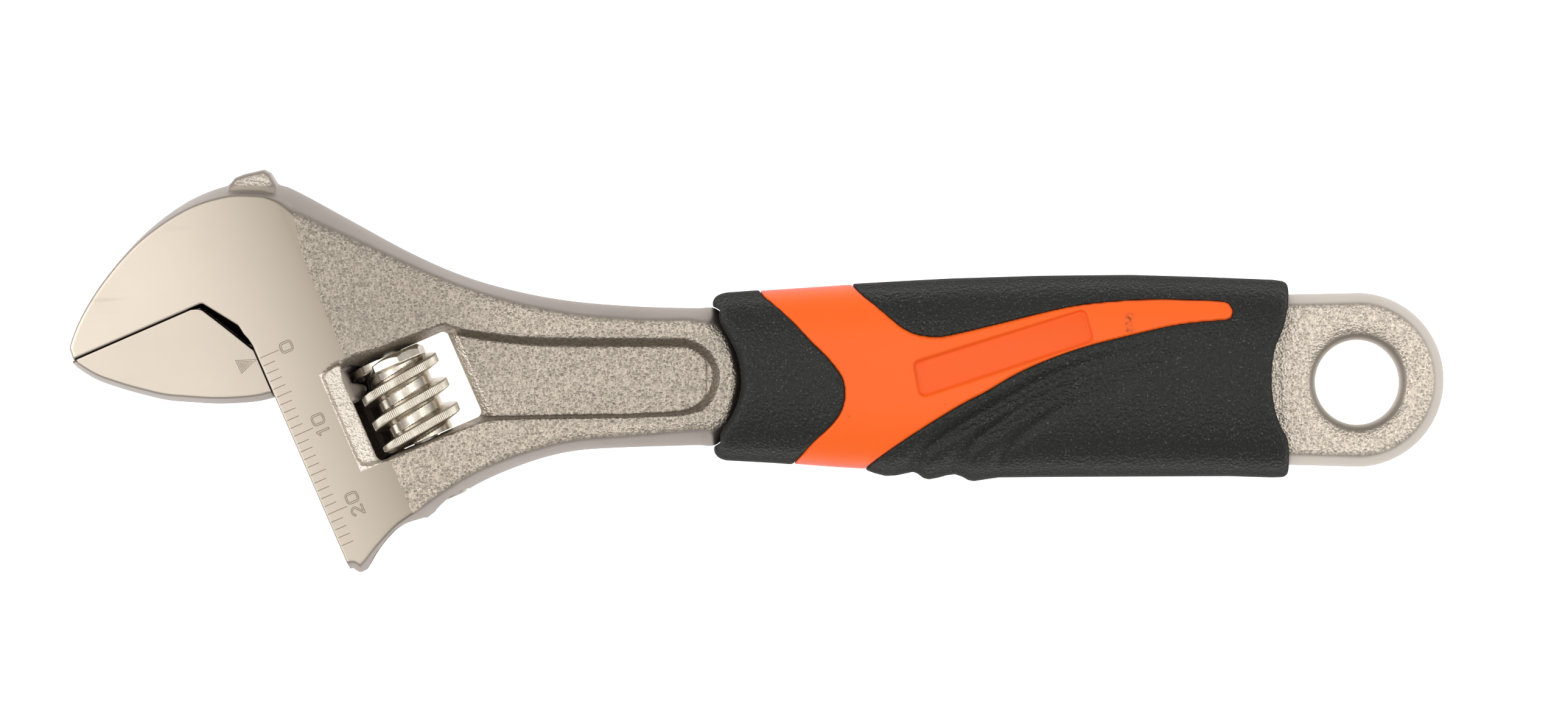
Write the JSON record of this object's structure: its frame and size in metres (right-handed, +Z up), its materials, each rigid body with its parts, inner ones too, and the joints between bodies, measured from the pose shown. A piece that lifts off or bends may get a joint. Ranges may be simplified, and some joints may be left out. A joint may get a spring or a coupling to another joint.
{
  "type": "adjustable wrench",
  "caption": "Adjustable wrench with a tilted head, a sliding lower jaw moved by a knurled worm, a sunk handle panel, a two-colour moulded grip and a round hang hole.",
  "frame": {"origin": "under the middle of the bounding box, on the surface that the wrench lies on", "axes": "+X along the handle towards the hang hole, +Y towards the crown of the head, +Z up through the thickness"},
  "size_m": [0.1618, 0.0474, 0.0148],
  "materials": {
    "forging": "satin nickel plate, ground on the head's faces, shot-blasted elsewhere",
    "worm": "polished, knurled on the thread's crest",
    "pin": "plain",
    "spring": "plain",
    "grip_hard": "satin orange plastic",
    "grip_soft": "fine-grained black soft plastic"
  },
  "bodies": {
    "body": {"wrench_body": "forging", "worm_pin": "pin", "worm_spring": "spring", "grip_core": "grip_hard", "grip_collar": "grip_soft", "grip_sleeve": "grip_soft"},
    "worm": {"worm": "worm"},
    "jaw": {"movable_jaw": "forging"}
  },
  "joints": [
    {"name": "worm_spin", "type": "hinge", "parent": "body", "child": "worm", "pos_m": [-0.0412, -0.00294, 0.0074], "axis": [-0.3987, 0.9171, 0], "range_deg": [0, 2752]},
    {"name": "jaw_slide", "type": "slide", "parent": "body", "child": "jaw", "axis": [0.3987, -0.9171, 0], "range_m": [0, 0.024]}
  ],
  "couplings": [
    {"joint": "worm_spin", "follows": "jaw_slide", "rad_per_m": 2001}
  ]
}
